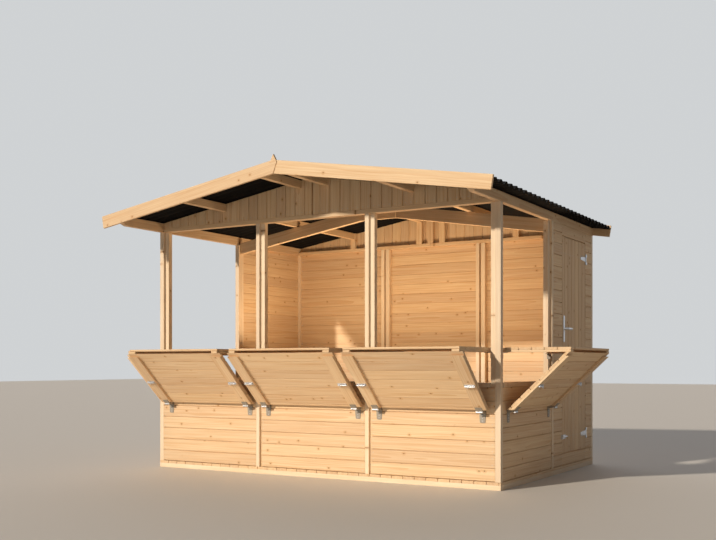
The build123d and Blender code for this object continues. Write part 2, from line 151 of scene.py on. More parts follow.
class StallColours(bpy.types.PropertyGroup):
    """Colours of the wood, the roof and the metal"""

    early: colour("Earlywood", "Pale part of a growth ring of spruce", "#EACFAA")
    late: colour("Latewood", "Dark part of a growth ring of spruce", "#D2A676")
    post_early: colour("Post earlywood", "Pale part of a growth ring in the paler posts and rails", "#F6E4CA")
    post_late: colour("Post latewood", "Dark part of a growth ring in the paler posts and rails", "#E2C39B")
    knot: colour("Knot", "Heart of a knot", "#966C44")
    bitumen: colour("Bitumen", "Corrugated roof sheet", "#0A090A")
    zinc: colour("Zinc", "Zinc plated fittings", "#A8AAAD")
    worn_zinc: colour("Worn zinc", "Zinc plated fittings that have weathered", "#A0988C")


class StallStudio(bpy.types.PropertyGroup):
    """Light and floor of the studio"""

    key: amount("Key light", "Strength of the key light", 3.2)
    key_angle: amount("Key angle", "Angle that the key light fills", math.radians(2.5), subtype="ANGLE")
    key_colour: colour("Key colour", "Colour of the key light", "#FFF1DE")
    surround: amount("Surround", "Strength of the light from all round", 0.172)
    surround_colour: colour("Surround colour", "Colour of the light from all round", "#E0DBDA")
    backdrop: colour("Backdrop", "Backdrop that the camera sees", "#DFE2E4")
    floor: colour("Floor", "Plain pale floor", "#CFCBC5")
    rear_fill: amount("Rear fill", "Strength of the light from behind", 1.1)
    card_power: amount("Front card", "Power of the card on the ground in watts", 4.5)
    lamp_power: amount("Stall lamp", "Power of the hidden lamp in the stall in watts", 30)
    lamp_colour: colour("Lamp colour", "Warm colour of the hidden lamp in the stall", "#FFE0B8")


def settings():
    """The sizes, the colours and the studio values of this scene."""
    scene = bpy.context.scene
    return scene.stall_sizes, scene.stall_colours, scene.stall_studio


def pick(*pieces):
    """Select these pieces and nothing else, with the first one active."""
    bpy.ops.object.select_all(action="DESELECT")
    for piece in pieces:
        piece.select_set(True)
    bpy.context.view_layer.objects.active = pieces[0]


def edit(piece, *steps):
    """Run edit mode steps on all of a piece."""
    pick(piece)
    bpy.ops.object.mode_set(mode="EDIT")
    bpy.ops.mesh.select_all(action="SELECT")
    for step in steps:
        step()
    bpy.ops.object.mode_set(mode="OBJECT")


def copy_piece(piece, name):
    """A copy of a piece with its own mesh."""
    made = bpy.data.objects.new(name, piece.data.copy())
    bpy.context.scene.collection.objects.link(made)
    return made


def copy_node(node, name):
    """A merged copy of a CAD node, with its flat faces whole again."""
    same_point, same_face = 0.00002, 0.01
    made = copy_piece(frame["nodes"][node], name)
    made.data.materials.clear()
    edit(
        made,
        lambda: bpy.ops.mesh.remove_doubles(threshold=same_point),
        lambda: bpy.ops.mesh.dissolve_limited(angle_limit=same_face),
    )
    return made


def join(pieces, name):
    """Join pieces into the first one, under one name."""
    pick(*pieces)
    if len(pieces) > 1:
        bpy.ops.object.join()
    pieces[0].name = name
    return pieces[0]


def cylinder(sides, radius, depth, place, turn=(0, 0, 0)):
    """A closed cylinder about one place, standing along Z unless it is turned."""
    bpy.ops.object.select_all(action="DESELECT")
    bpy.ops.mesh.primitive_cylinder_add(
        vertices=sides,
        radius=radius,
        depth=depth,
        location=place,
        rotation=turn,
    )
    bpy.ops.object.transform_apply(location=True, rotation=True, scale=True)
    return bpy.context.object


def reach(piece, way):
    """Lowest and highest place of a piece along a direction."""
    places = [v.co.dot(way) for v in piece.data.vertices]
    return min(places), max(places)


def saw(piece, way, place, keep_above):
    """Cut a closed piece square to a direction at one place, and keep one side of the cut."""
    edit(
        piece,
        lambda: bpy.ops.mesh.bisect(
            plane_co=way * place,
            plane_no=way,
            threshold=PAPER / 10,
            use_fill=True,
            clear_inner=keep_above,
            clear_outer=not keep_above,
        ),
    )


def cut_out(whole, name, way, near, far):
    """The part of a closed piece between two places along a direction."""
    part = copy_piece(whole, name)
    low, high = reach(part, way)
    if near > low:
        saw(part, way, near, True)
    if far < high:
        saw(part, way, far, False)
    return part


def ease_edges(piece, wanted, offset, segments):
    """Bevel the edges whose two ends pass a test."""
    pick(piece)
    mesh = piece.data
    mesh.polygons.foreach_set("select", [False] * len(mesh.polygons))
    mesh.vertices.foreach_set("select", [False] * len(mesh.vertices))
    for edge in mesh.edges:
        a, b = (mesh.vertices[i] for i in edge.vertices)
        edge.select = wanted(a.co, b.co)
        if edge.select:
            a.select = b.select = True
    bpy.ops.object.mode_set(mode="EDIT")
    bpy.ops.mesh.bevel(offset=offset, segments=segments, affect="EDGES", clamp_overlap=True)
    bpy.ops.object.mode_set(mode="OBJECT")


def ease_along(piece, run, side, place, offset, segments):
    """Bevel the edges that run along a board at one place on one side."""
    nearly_parallel = 0.9
    ease_edges(
        piece,
        lambda a, b: abs(a.dot(side) - place) < SAME_PLANE
        and abs(b.dot(side) - place) < SAME_PLANE
        and abs((b - a).normalized().dot(run)) > nearly_parallel,
        offset,
        segments,
    )


def ease_all(piece, width, segments=2):
    """Round every edge of a timber or a fitting that is sharper than 25 degrees."""
    bevel = piece.modifiers.new("ease", "BEVEL")
    bevel.width = width
    bevel.segments = segments
    bevel.limit_method = "ANGLE"
    bevel.angle_limit = math.radians(25)
    pick(piece)
    bpy.ops.object.modifier_apply(modifier="ease")


def islands(mesh):
    """Lists of vertex numbers, one for each loose part of a mesh."""
    net = bmesh.new()
    net.from_mesh(mesh)
    seen = set()
    found = []
    for start in net.verts:
        if start.index in seen:
            continue
        seen.add(start.index)
        part, todo = [], [start]
        while todo:
            vert = todo.pop()
            part.append(vert.index)
            for edge in vert.link_edges:
                other = edge.other_vert(vert)
                if other.index not in seen:
                    seen.add(other.index)
                    todo.append(other)
        found.append(part)
    net.free()
    return found


def mark_grain(piece, run=None):
    """Give each board its own grain: a place along, across and through the log, and a tone from 0 to 1."""
    mesh = piece.data
    dice = random.Random(piece.name)
    points = np.array([v.co for v in mesh.vertices])
    grain = np.zeros_like(points)
    tone = np.zeros(len(points))
    for part in islands(mesh):
        own = points[part] - points[part].mean(0)
        if run is not None:
            along = np.array(run)
            flat = own - np.outer(own @ along, along)
            across, through = np.linalg.svd(flat, full_matrices=False)[2][:2]
        else:
            along, across, through = np.linalg.svd(own, full_matrices=False)[2]
        axes = np.stack([along, across, through])
        # Where in the log the board was sawn: anywhere along it, and 20 to 110 mm from its heart
        shift = [dice.uniform(0, 50), dice.uniform(-0.07, 0.07), dice.uniform(0.02, 0.11)]
        grain[part] = own @ axes.T + shift
        tone[part] = dice.random()
    mesh.attributes.new("grain", "FLOAT_VECTOR", "POINT").data.foreach_set("vector", grain.ravel())
    mesh.attributes.new("tone", "FLOAT", "POINT").data.foreach_set("value", tone)


def draw_in(piece, run, by):
    """Shorten each loose part of a piece by some length at both ends."""
    verts = piece.data.vertices
    for part in islands(piece.data):
        places = [verts[i].co.dot(run) for i in part]
        low, high = min(places), max(places)
        for i, place in zip(part, places):
            if place - low < by:
                verts[i].co += run * (low + by - place)
            elif high - place < by:
                verts[i].co -= run * (by - (high - place))


def stamp(shape, name, spots):
    """Copy a small closed shape, modelled facing up at the origin, to many places and ways to face."""
    points = [v.co.copy() for v in shape.data.vertices]
    faces = [list(p.vertices) for p in shape.data.polygons]
    verts, loops = [], []
    for place, out in spots:
        turn = out.to_track_quat("Z", "Y")
        first = len(verts)
        verts += [turn @ point + place for point in points]
        loops += [[first + i for i in face] for face in faces]
    bpy.data.objects.remove(shape)
    mesh = bpy.data.meshes.new(name)
    mesh.from_pydata(verts, [], loops)
    made = bpy.data.objects.new(name, mesh)
    bpy.context.scene.collection.objects.link(made)
    return made


def finish_piece(piece, finish, slot, body, *nodes):
    """Give a piece its finish, let it ride on its body, and let it stand for CAD nodes. The slot is not used.
    """
    piece.data.materials.clear()
    piece.data.materials.append(finish)
    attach(piece, body)
    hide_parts(*nodes)
    return piece


def add_node(tree, kind, values=None, links=None, out=0):
    """Add a shader node, set its options and input values, link its inputs, and give one of its outputs."""
    node = tree.nodes.new("ShaderNode" + kind)
    for key, value in (values or {}).items():
        if isinstance(key, str) and hasattr(node, key):
            setattr(node, key, value)
        else:
            node.inputs[key].default_value = value
    for key, source in (links or {}).items():
        tree.links.new(source, node.inputs[key])
    return node.outputs[out]


def new_finish(name):
    """A new material, its node tree and its shader."""
    finish = bpy.data.materials.new(name)
    finish.use_nodes = True
    tree = finish.node_tree
    return finish, tree, tree.nodes["Principled BSDF"]


def finish_named(name, maker, *args):
    """The material of that name, made the first time it is asked for."""
    return bpy.data.materials.get(name) or maker(name, *args)


def spruce(name, early, late):
    """Planed, untreated spruce: pale earlywood, darker latewood lines along the board, small brown knots."""
    _, colours, _ = settings()
    finish, tree, shader = new_finish(name)
    place = add_node(tree, "Attribute", {"attribute_name": "grain"}, out="Vector")
    tone = add_node(tree, "Attribute", {"attribute_name": "tone"}, out="Fac")

    # Slow wander of the log: 8 mm sideways over about 0.8 m of length
    slow = add_node(tree, "Mapping", {"Scale": (1.3, 7, 7)}, {"Vector": place})
    wander = add_node(tree, "TexNoise", {"Scale": 1.0, "Detail": 2.0}, {"Vector": slow}, "Color")
    centred = add_node(tree, "VectorMath", {"operation": "SUBTRACT", 1: (0.5, 0.5, 0.5)}, {0: wander})
    swing = add_node(tree, "VectorMath", {"operation": "SCALE", "Scale": 0.022}, {0: centred})

    # Knots: cells of about 130 mm, four in ten with a knot that is darkest within 3 mm and ends at 7 mm
    flat = add_node(tree, "Mapping", {"Scale": (0.8, 1, 0)}, {"Vector": place})
    spread = {"voronoi_dimensions": "2D", "Scale": 7.5, "Randomness": 0.9}
    from_middle = add_node(tree, "TexVoronoi", spread, {"Vector": flat}, "Distance")
    cell = from_middle.node.outputs["Color"]
    chance = add_node(tree, "MapRange", {"From Min": 0.57, "From Max": 0.59}, {"Value": cell})
    fade = {"interpolation_type": "SMOOTHSTEP", "To Max": 0.0}
    close = fade | {"From Min": 0.02, "From Max": 0.055, "To Min": 0.85}
    wider = fade | {"From Min": 0.03, "From Max": 0.16, "To Min": 0.45}
    heart = add_node(tree, "MapRange", close, {"Value": from_middle})
    halo = add_node(tree, "MapRange", wider, {"Value": from_middle})
    knot = add_node(tree, "Math", {"operation": "MULTIPLY"}, {0: chance, 1: heart})
    around = add_node(tree, "Math", {"operation": "MULTIPLY"}, {0: chance, 1: halo})
    bulge = add_node(tree, "Math", {"operation": "MULTIPLY", 1: 0.02}, {0: around})

    # Growth rings round the heart of the log, drawn 9 mm apart, about three times coarser than real, to show
    bent = add_node(tree, "VectorMath", {"operation": "ADD"}, {0: place, 1: swing})
    pushed = add_node(tree, "VectorMath", {"operation": "ADD"}, {0: bent, 1: bulge})
    log = add_node(tree, "Mapping", {"Scale": (0.05, 1, 1)}, {"Vector": pushed})
    saw_tooth = {"wave_type": "RINGS", "rings_direction": "X", "wave_profile": "SAW", "Scale": 0.314 / 0.009}
    rings = add_node(tree, "TexWave", saw_tooth, {"Vector": log}, "Fac")

    # Fibre streaks 3 mm wide and about 0.3 m long, and darker bands 20 mm wide and 0.5 m long
    thin = add_node(tree, "Mapping", {"Scale": (3, 330, 330)}, {"Vector": place})
    fibre = add_node(tree, "TexNoise", {"Scale": 1.0, "Detail": 3.0}, {"Vector": thin}, "Fac")
    wide = add_node(tree, "Mapping", {"Scale": (2, 45, 45)}, {"Vector": place})
    bands = add_node(tree, "TexNoise", {"Scale": 1.0, "Detail": 2.0}, {"Vector": wide}, "Fac")

    # Colour: rings, bands and knots, then a small difference of tone and hue from board to board
    dark = add_node(tree, "Math", {"operation": "POWER", 1: 2.2}, {0: rings})
    blend = add_node(tree, "Math", {"operation": "MULTIPLY_ADD", 1: 0.42}, {0: dark, 2: around})
    greyer = {"From Min": 0.3, "From Max": 0.7, "To Max": 0.42}
    grey = add_node(tree, "MapRange", greyer, {"Value": bands})
    share = add_node(tree, "Math", {"operation": "ADD", "use_clamp": True}, {0: blend, 1: grey})
    wood = add_node(tree, "Mix", {"data_type": "RGBA", 6: early, 7: late}, {0: share}, 2)
    streaks = {"From Min": 0.25, "From Max": 0.75, "To Min": 0.92, "To Max": 1.06}
    streaked = add_node(tree, "MapRange", streaks, {"Value": fibre})
    toned = add_node(tree, "MapRange", {"To Min": 0.92, "To Max": 1.05}, {"Value": tone})
    value = add_node(tree, "Math", {"operation": "MULTIPLY"}, {0: streaked, 1: toned})
    hue = add_node(tree, "MapRange", {"To Min": 0.4975, "To Max": 0.5025}, {"Value": tone})
    coloured = add_node(tree, "HueSaturation", {}, {"Hue": hue, "Value": value, "Color": wood})
    final = add_node(tree, "Mix", {"data_type": "RGBA", 7: colours.knot}, {0: knot, 6: coloured}, 2)

    # Relief: the latewood and the fibres stand a hair proud
    height = add_node(tree, "Math", {"operation": "MULTIPLY_ADD", 1: 0.5}, {0: dark, 2: fibre})
    bump = add_node(tree, "Bump", {"Strength": 0.35, "Distance": 0.0006}, {"Height": height})
    tree.links.new(final, shader.inputs["Base Color"])
    tree.links.new(bump, shader.inputs["Normal"])
    shader.inputs["Roughness"].default_value = 0.62
    shader.inputs["IOR"].default_value = 1.5
    shader.inputs["Specular IOR Level"].default_value = 0.35
    return finish


def wood_finish(name):
    """A spruce finish by its name. That of the posts, rails and frames is paler than that of the boards."""
    _, colours, _ = settings()
    if name == "planed_spruce_frame":
        return finish_named(name, spruce, colours.post_early, colours.post_late)
    return finish_named(name, spruce, colours.early, colours.late)


def zinc_plate(name, tint, smooth, rough, metallic):
    """Zinc plated steel: a grey metal with faint cloudy patches about 15 mm wide, from smooth to rough."""
    finish, tree, shader = new_finish(name)
    place = add_node(tree, "TexCoord", out="Object")
    cloud = add_node(tree, "TexNoise", {"Scale": 65.0, "Detail": 3.0}, {"Vector": place}, "Fac")
    patch = {"From Min": 0.3, "From Max": 0.7}
    dull = add_node(tree, "MapRange", patch | {"To Min": smooth, "To Max": rough}, {"Value": cloud})
    shade = add_node(tree, "MapRange", patch | {"To Min": 0.85, "To Max": 1.05}, {"Value": cloud})
    clouded = add_node(tree, "HueSaturation", {"Color": tint}, {"Value": shade})
    tree.links.new(clouded, shader.inputs["Base Color"])
    tree.links.new(dull, shader.inputs["Roughness"])
    shader.inputs["Metallic"].default_value = metallic
    return finish


def bright_zinc():
    """Cool, shining zinc plate, as on the nails, screws, bolts, barrels and the door's fittings."""
    _, colours, _ = settings()
    return finish_named("zinc_plated_steel", zinc_plate, colours.zinc, 0.42, 0.6, 0.9)


def worn_zinc():
    """Zinc plate gone dull and slightly brown in the weather, as on the hatches' hinges and brackets."""
    _, colours, _ = settings()
    return finish_named("dull_zinc_plated_steel", zinc_plate, colours.worn_zinc, 0.57, 0.75, 0.25)


def bitumen_sheet(name):
    """Corrugated bitumen sheet: a matt black felt with grit of about 2 mm, drawn at 4 mm to show."""
    _, colours, _ = settings()
    finish, tree, shader = new_finish(name)
    place = add_node(tree, "TexCoord", out="Object")
    grit = add_node(tree, "TexNoise", {"Scale": 250.0, "Detail": 3.0}, {"Vector": place}, "Fac")
    dust = add_node(tree, "TexNoise", {"Scale": 3.5, "Detail": 4.0}, {"Vector": place}, "Fac")
    patch = {"From Min": 0.3, "From Max": 0.75, "To Min": 0.8, "To Max": 1.6}
    shade = add_node(tree, "MapRange", patch, {"Value": dust})
    dusty = add_node(tree, "HueSaturation", {"Color": colours.bitumen}, {"Value": shade})
    bump = add_node(tree, "Bump", {"Strength": 0.4, "Distance": 0.001}, {"Height": grit})
    tree.links.new(dusty, shader.inputs["Base Color"])
    tree.links.new(bump, shader.inputs["Normal"])
    shader.inputs["Roughness"].default_value = 0.9
    shader.inputs["Specular IOR Level"].default_value = 0.2
    return finish


def small_cone(sides, radius, top_share, height_share):
    """A cone cut off at its top, for the head of a nail or a screw or the cap of a roof nail."""
    bpy.ops.object.select_all(action="DESELECT")
    bpy.ops.mesh.primitive_cone_add(
        vertices=sides,
        radius1=radius,
        radius2=radius * top_share,
        depth=radius * height_share,
    )
    return bpy.context.object


def nail_heads(name, spots, body):
    """Flat nail heads, each a low eight-sided cone half sunk into the board."""
    sizes, _, _ = settings()
    heads = stamp(small_cone(8, sizes.nail_head, 0.75, 0.5), name, spots)
    return finish_piece(heads, bright_zinc(), "zinc_plated_steel", body)


def screw_heads(name, spots, body):
    """Pan screw heads with a sunk drive, one at each spot."""
    sizes, _, _ = settings()
    radius = sizes.screw_head
    head = small_cone(10, radius, 0.8, 0.9)
    drive_edge, drive_depth = radius * 0.45, radius * 0.35
    top = max(head.data.polygons, key=lambda p: p.center.z).index
    bpy.context.tool_settings.mesh_select_mode = (False, False, True)
    head.data.polygons.foreach_set("select", [p.index == top for p in head.data.polygons])
    bpy.ops.object.mode_set(mode="EDIT")
    bpy.ops.mesh.inset(thickness=drive_edge)
    bpy.ops.mesh.extrude_region_move(TRANSFORM_OT_translate={"value": (0, 0, -drive_depth)})
    bpy.ops.object.mode_set(mode="OBJECT")
    bpy.context.tool_settings.mesh_select_mode = (False, True, False)
    heads = stamp(head, name, spots)
    return finish_piece(heads, bright_zinc(), "zinc_plated_steel", body)


def saw_boards(panel, lay, out, cover, start, gap=None, eases=None, segments=2, foot_gap=0, nail_row=0.022):
    """Saw a panel into tongued boards laid side by side along lay, and give the places of their nails.

    gap is the open joint and eases are the bevels outside and inside, those of a wall board unless given.
    """
    sizes, _, _ = settings()
    gap = gap or sizes.joint
    outer_ease, inner_ease = eases or (sizes.wall_ease, sizes.inner_ease)
    most_boards = 40
    # Strips under 4 mm stay with their neighbour, and boards under 50 mm are not nailed
    sliver, narrow = 0.004, 0.05
    # How far a tongue reaches into the next board, and the share of the thickness that it takes up
    bite, tongue_back, tongue_front = 0.004, 0.28, 0.52
    run = lay.cross(out).normalized()
    low, high = reach(panel, lay)
    inner, outer = reach(panel, out)
    thick = outer - inner
    cuts = [start + cover * step for step in range(-most_boards, most_boards + 1)]
    cuts = [cut for cut in cuts if low + sliver < cut < high - sliver]
    boards = []
    spots = []
    for near, far in zip([low] + cuts, cuts + [high]):
        before = gap / 2 if near > low else foot_gap
        after = gap / 2 if far < high else 0
        board = cut_out(panel, panel.name, lay, near + before, far - after)
        for part in islands(board.data):
            ends = sorted(board.data.vertices[i].co.dot(run) for i in part)
            for along in (ends[0] + nail_row, ends[-1] - nail_row):
                for share in (0.25, 0.75) if far - near > narrow else ():
                    spots.append((run * along + lay * (near + (far - near) * share) + out * outer, out))
        inner_place, outer_place = reach(board, out)
        ease_along(board, run, out, outer_place, outer_ease, segments)
        ease_along(board, run, out, inner_place, inner_ease, segments)
        ease_along(board, lay, out, outer_place, sizes.end_ease, 1)
        boards.append(board)
    for cut in cuts:
        strip = cut_out(panel, panel.name, lay, cut - gap, cut + gap + bite)
        tongue = cut_out(strip, panel.name, out, inner + thick * tongue_back, inner + thick * tongue_front)
        bpy.data.objects.remove(strip)
        draw_in(tongue, run, sizes.tongue_stop)
        boards.append(tongue)
    name = panel.name
    bpy.data.objects.remove(panel)
    made = join(boards, name)
    mark_grain(made, run)
    return made, spots


def part_battens(whole, name, out, board, run):
    """Part the battens from the boards in front of them, and leave only the boards in the whole piece."""
    sizes, _, _ = settings()
    back, face = reach(whole, out)
    battens = cut_out(whole, name, out, back, face - board - PAPER)
    ease_all(battens, sizes.timber_ease)
    mark_grain(battens, run)
    saw(whole, out, face - board + PAPER, True)
    return battens


def board_hatch(whole, node, lay, face, eases, nail_row):
    """Saw one part of a hatch into round-edged boards, laid side by side along lay on battens."""
    sizes, _, _ = settings()
    battens = part_battens(whole, node + "_battens", face, sizes.hatch_board, lay)
    start = reach(whole, lay)[1]
    boards, spots = saw_boards(
        whole, lay, face, sizes.hatch_cover, start, eases=eases, segments=4, nail_row=nail_row
    )
    nail_heads(node + "_nails", spots, "stall")
    finish = wood_finish("planed_spruce_hatch_boards")
    finish_piece(join([boards, battens], node + "_sawn"), finish, "hatch_boards", "stall", node)


class STALL_OT_wall_boards(bpy.types.Operator):
    """Saw the wall panels into level boards"""

    bl_idname = "stall.wall_boards"
    bl_label = "Wall boards"

    def execute(self, context):
        sizes, _, _ = settings()
        # A panel no higher than this is one board
        one_board = 0.2
        floor_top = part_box("floor_boards")[1].z
        finish = wood_finish("planed_spruce_wall_boards")
        for node, out in (
            ("front_boards", -Y),
            ("back_boards", Y),
            ("left_low_boards", -X),
            ("left_rear_boards", -X),
            ("right_low_boards", X),
            ("door_side_boards", X),
            ("door_top_boards", X),
            ("door_foot_boards", X),
        ):
            panel = copy_node(node, node + "_sawn")
            low, high = reach(panel, Z)
            cover, start = (sizes.wall_cover, floor_top) if high - low > one_board else (high - low, low)
            sawn, spots = saw_boards(panel, Z, out, cover, start, foot_gap=sizes.foot_gap)
            finish_piece(sawn, finish, "wall_boards", "stall", node)
            nail_heads(node + "_nails", spots, "stall")
        return {"FINISHED"}


class STALL_OT_gables(bpy.types.Operator):
    """Saw the gables into upright boards, a rail and studs"""

    bl_idname = "stall.gables"
    bl_label = "Gables"

    def execute(self, context):
        sizes, _, _ = settings()
        # Width of the first board beside the middle, and how far above the rail the nails are kept
        first_board, nail_row = 0.069, 0.05
        finish = wood_finish("planed_spruce_gable_boards")
        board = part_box("front_boards")
        thick = board[1].y - board[0].y
        # The rail on the posts is as high as a sill rail
        sill_low, sill_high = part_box("sill_rails")
        rail_top = sill_high.z - sill_low.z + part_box("corner_posts")[1].z
        for end, out in (("front", -Y), ("back", Y)):
            for side in (-1, 1):
                node = f"{end}_gable_{'left' if side < 0 else 'right'}"
                whole = copy_node(node, node + "_sawn")
                foot = reach(whole, Z)[0]
                rail = cut_out(whole, node + "_rail", Z, foot, rail_top - PAPER)
                ease_all(rail, sizes.timber_ease)
                mark_grain(rail, X)
                saw(whole, Z, rail_top + PAPER, True)
                studs = part_battens(whole, node + "_studs", out, thick, Z)
                start = reach(whole, side * X)[0] + first_board
                boards, spots = saw_boards(whole, side * X, out, sizes.upright_cover, start)
                foot_row = [spot for spot in spots if spot[0].z < rail_top + nail_row]
                nail_heads(node + "_nails", foot_row, "stall")
                boarding = join([boards, rail, studs], node + "_boarding")
                finish_piece(boarding, finish, "gable_boards", "stall", node)
        return {"FINISHED"}


class STALL_OT_timbers(bpy.types.Operator):
    """Ease the edges of the posts, rails, purlins, truss and bargeboards"""

    bl_idname = "stall.timbers"
    bl_label = "Timbers"

    def execute(self, context):
        sizes, _, _ = settings()
        for finish_name, slot, nodes in (
            (
                "planed_spruce_frame",
                "frame_timber",
                ["corner_posts", "cover_posts", "frame_posts", "sill_rails", "door_frame"],
            ),
            (
                "planed_spruce_roof_timber",
                "roof_timber",
                ["ridge_purlins", "mid_purlins", "eave_purlins", "truss_left", "truss_right", "truss_splice"],
            ),
            (
                "planed_spruce_bargeboard",
                "bargeboard",
                [f"{end}_bargeboard_{side}" for end in ("front", "rear") for side in ("left", "right")],
            ),
        ):
            finish = wood_finish(finish_name)
            for node in nodes:
                timber = copy_node(node, node + "_planed")
                ease_all(timber, sizes.timber_ease)
                mark_grain(timber)
                finish_piece(timber, finish, slot, "stall", node)
        return {"FINISHED"}


class STALL_OT_floor(bpy.types.Operator):
    """Saw the floor into boards and its frame into bearers"""

    bl_idname = "stall.floor"
    bl_label = "Floor"

    def execute(self, context):
        sizes, _, _ = settings()
        bearer, floor_ease, nail_row = 0.06, 0.002, 0.1
        panel = copy_node("floor_boards", "floor_boards_sawn")
        start = reach(panel, X)[0]
        eases = (floor_ease, floor_ease)
        boards, spots = saw_boards(
            panel, X, Z, sizes.floor_cover, start, sizes.floor_gap, eases, segments=1, nail_row=nail_row
        )
        nail_heads("floor_nails", spots, "stall")
        finish_piece(boards, wood_finish("planed_spruce_floor"), "floor_boards", "stall", "floor_boards")

        whole = copy_node("floor_frame", "floor_frame_planed")
        low, high = reach(whole, Y)
        front = copy_piece(whole, "front_bearer")
        saw(front, Y, low + bearer, False)
        rear = copy_piece(whole, "rear_bearer")
        saw(rear, Y, high - bearer, True)
        saw(whole, Y, low + bearer, True)
        saw(whole, Y, high - bearer, False)
        for part, run in ((front, X), (rear, X), (whole, Y)):
            ease_all(part, sizes.timber_ease)
            mark_grain(part, run)
        bearers = join([whole, front, rear], "floor_frame_planed")
        finish_piece(bearers, wood_finish("planed_spruce_frame"), "frame_timber", "stall", "floor_frame")
        return {"FINISHED"}


class STALL_OT_hatch_leaves(bpy.types.Operator):
    """Saw the sloping hatch leaves into round-edged boards on two battens"""

    bl_idname = "stall.hatch_leaves"
    bl_label = "Hatch leaves"

    def execute(self, context):
        sizes, _, _ = settings()
        nail_row = 0.05
        for name, out in HATCH_SIDES:
            node = name + "_leaf"
            whole = copy_node(node, node + "_sawn")
            # The widest face that looks up and back at the wall carries the boards
            upper = max(
                (p for p in whole.data.polygons if p.normal.dot(Z) > 0.5 and p.normal.dot(out) < -0.3),
                key=lambda p: p.area,
            ).normal.copy()
            up_slope = (out - upper * out.dot(upper)).normalized()
            board_hatch(whole, node, up_slope, upper, (sizes.hatch_ease, sizes.inner_ease), nail_row)
        return {"FINISHED"}


class STALL_OT_hatch_counters(bpy.types.Operator):
    """Saw the level counters into round-edged boards on two battens"""

    bl_idname = "stall.hatch_counters"
    bl_label = "Counters"

    def execute(self, context):
        sizes, _, _ = settings()
        nail_row = 0.035
        for name, out in HATCH_SIDES:
            node = name + "_counter"
            whole = copy_node(node, node + "_sawn")
            board_hatch(whole, node, out, Z, (sizes.inner_ease, sizes.hatch_ease), nail_row)
        return {"FINISHED"}


class STALL_OT_door(bpy.types.Operator):
    """Saw the door leaf into upright boards on two ledges and a brace"""

    bl_idname = "stall.door"
    bl_label = "Door"

    def execute(self, context):
        sizes, _, _ = settings()
        nail_row = 0.14
        whole = copy_node("door_leaf", "door_leaf_sawn")
        ledges = part_battens(whole, "door_ledges", X, sizes.wall_board, Y)
        start = reach(whole, Y)[1]
        boards, spots = saw_boards(whole, Y, X, sizes.upright_cover, start, nail_row=nail_row)
        nail_heads("door_leaf_nails", spots, "door")
        finish = wood_finish("planed_spruce_door_boards")
        finish_piece(join([boards, ledges], "door_leaf_sawn"), finish, "door_boards", "door", "door_leaf")
        return {"FINISHED"}


class STALL_OT_door_stops(bpy.types.Operator):
    """Nail a stop behind each edge of the door, for the leaf to shut against"""

    bl_idname = "stall.door_stops"
    bl_label = "Door stops"

    def execute(self, context):
        sizes, _, _ = settings()
        low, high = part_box("door_leaf")
        # The stops fill the gap round the leaf, lap over its edge, and stand just clear of its back
        gap, lap, deep, slack = 0.006, 0.012, 0.016, 0.001
        face = high.x - sizes.wall_board - slack
        strips = []
        for start, end in (
            ((low.y - gap, low.z - gap), (low.y + lap, high.z + gap)),
            ((high.y - lap, low.z - gap), (high.y + gap, high.z + gap)),
            ((low.y + lap + PAPER, high.z - lap), (high.y - lap - PAPER, high.z + gap)),
            ((low.y + lap + PAPER, low.z - gap), (high.y - lap - PAPER, low.z + lap)),
        ):
            corner = Vector((face - deep, *start))
            size = Vector((face, *end)) - corner
            bpy.ops.object.select_all(action="DESELECT")
            bpy.ops.mesh.primitive_cube_add(size=1, location=corner + size / 2, scale=size)
            strip = context.object
            bpy.ops.object.transform_apply(location=True, rotation=True, scale=True)
            ease_all(strip, sizes.timber_ease)
            strips.append(strip)
        stops = join(strips, "door_stops")
        mark_grain(stops)
        finish_piece(stops, wood_finish("planed_spruce_frame"), "frame_timber", "stall")
        return {"FINISHED"}


class STALL_OT_fittings(bpy.types.Operator):
    """Dress the bolts, the brackets and the door's hinges, handle and bolt in zinc plate"""

    bl_idname = "stall.fittings"
    bl_label = "Fittings"

    def execute(self, context):
        sizes, _, _ = settings()
        for node in (
            "hatch_bolts",
            "counter_brackets",
            "door_straps",
            "door_hinge_plates",
            "door_handle",
            "door_bolt",
            "bolt_keeper",
        ):
            fitting = copy_node(node, node + "_plated")
            ease_all(fitting, sizes.metal_ease, 1)
            finish = worn_zinc() if node == "counter_brackets" else bright_zinc()
            body = "door" if node in door_nodes else "stall"
            finish_piece(fitting, finish, "zinc_plated_steel", body, node)
        return {"FINISHED"}


def part_axes(mesh, part):
    """Middle of a loose part of a mesh, and its long, broad and thin directions."""
    points = np.array([mesh.vertices[i].co for i in part])
    middle = points.mean(0)
    long, broad, thin = np.linalg.svd(points - middle, full_matrices=False)[2]
    return Vector(middle), Vector(long), Vector(broad), Vector(thin)


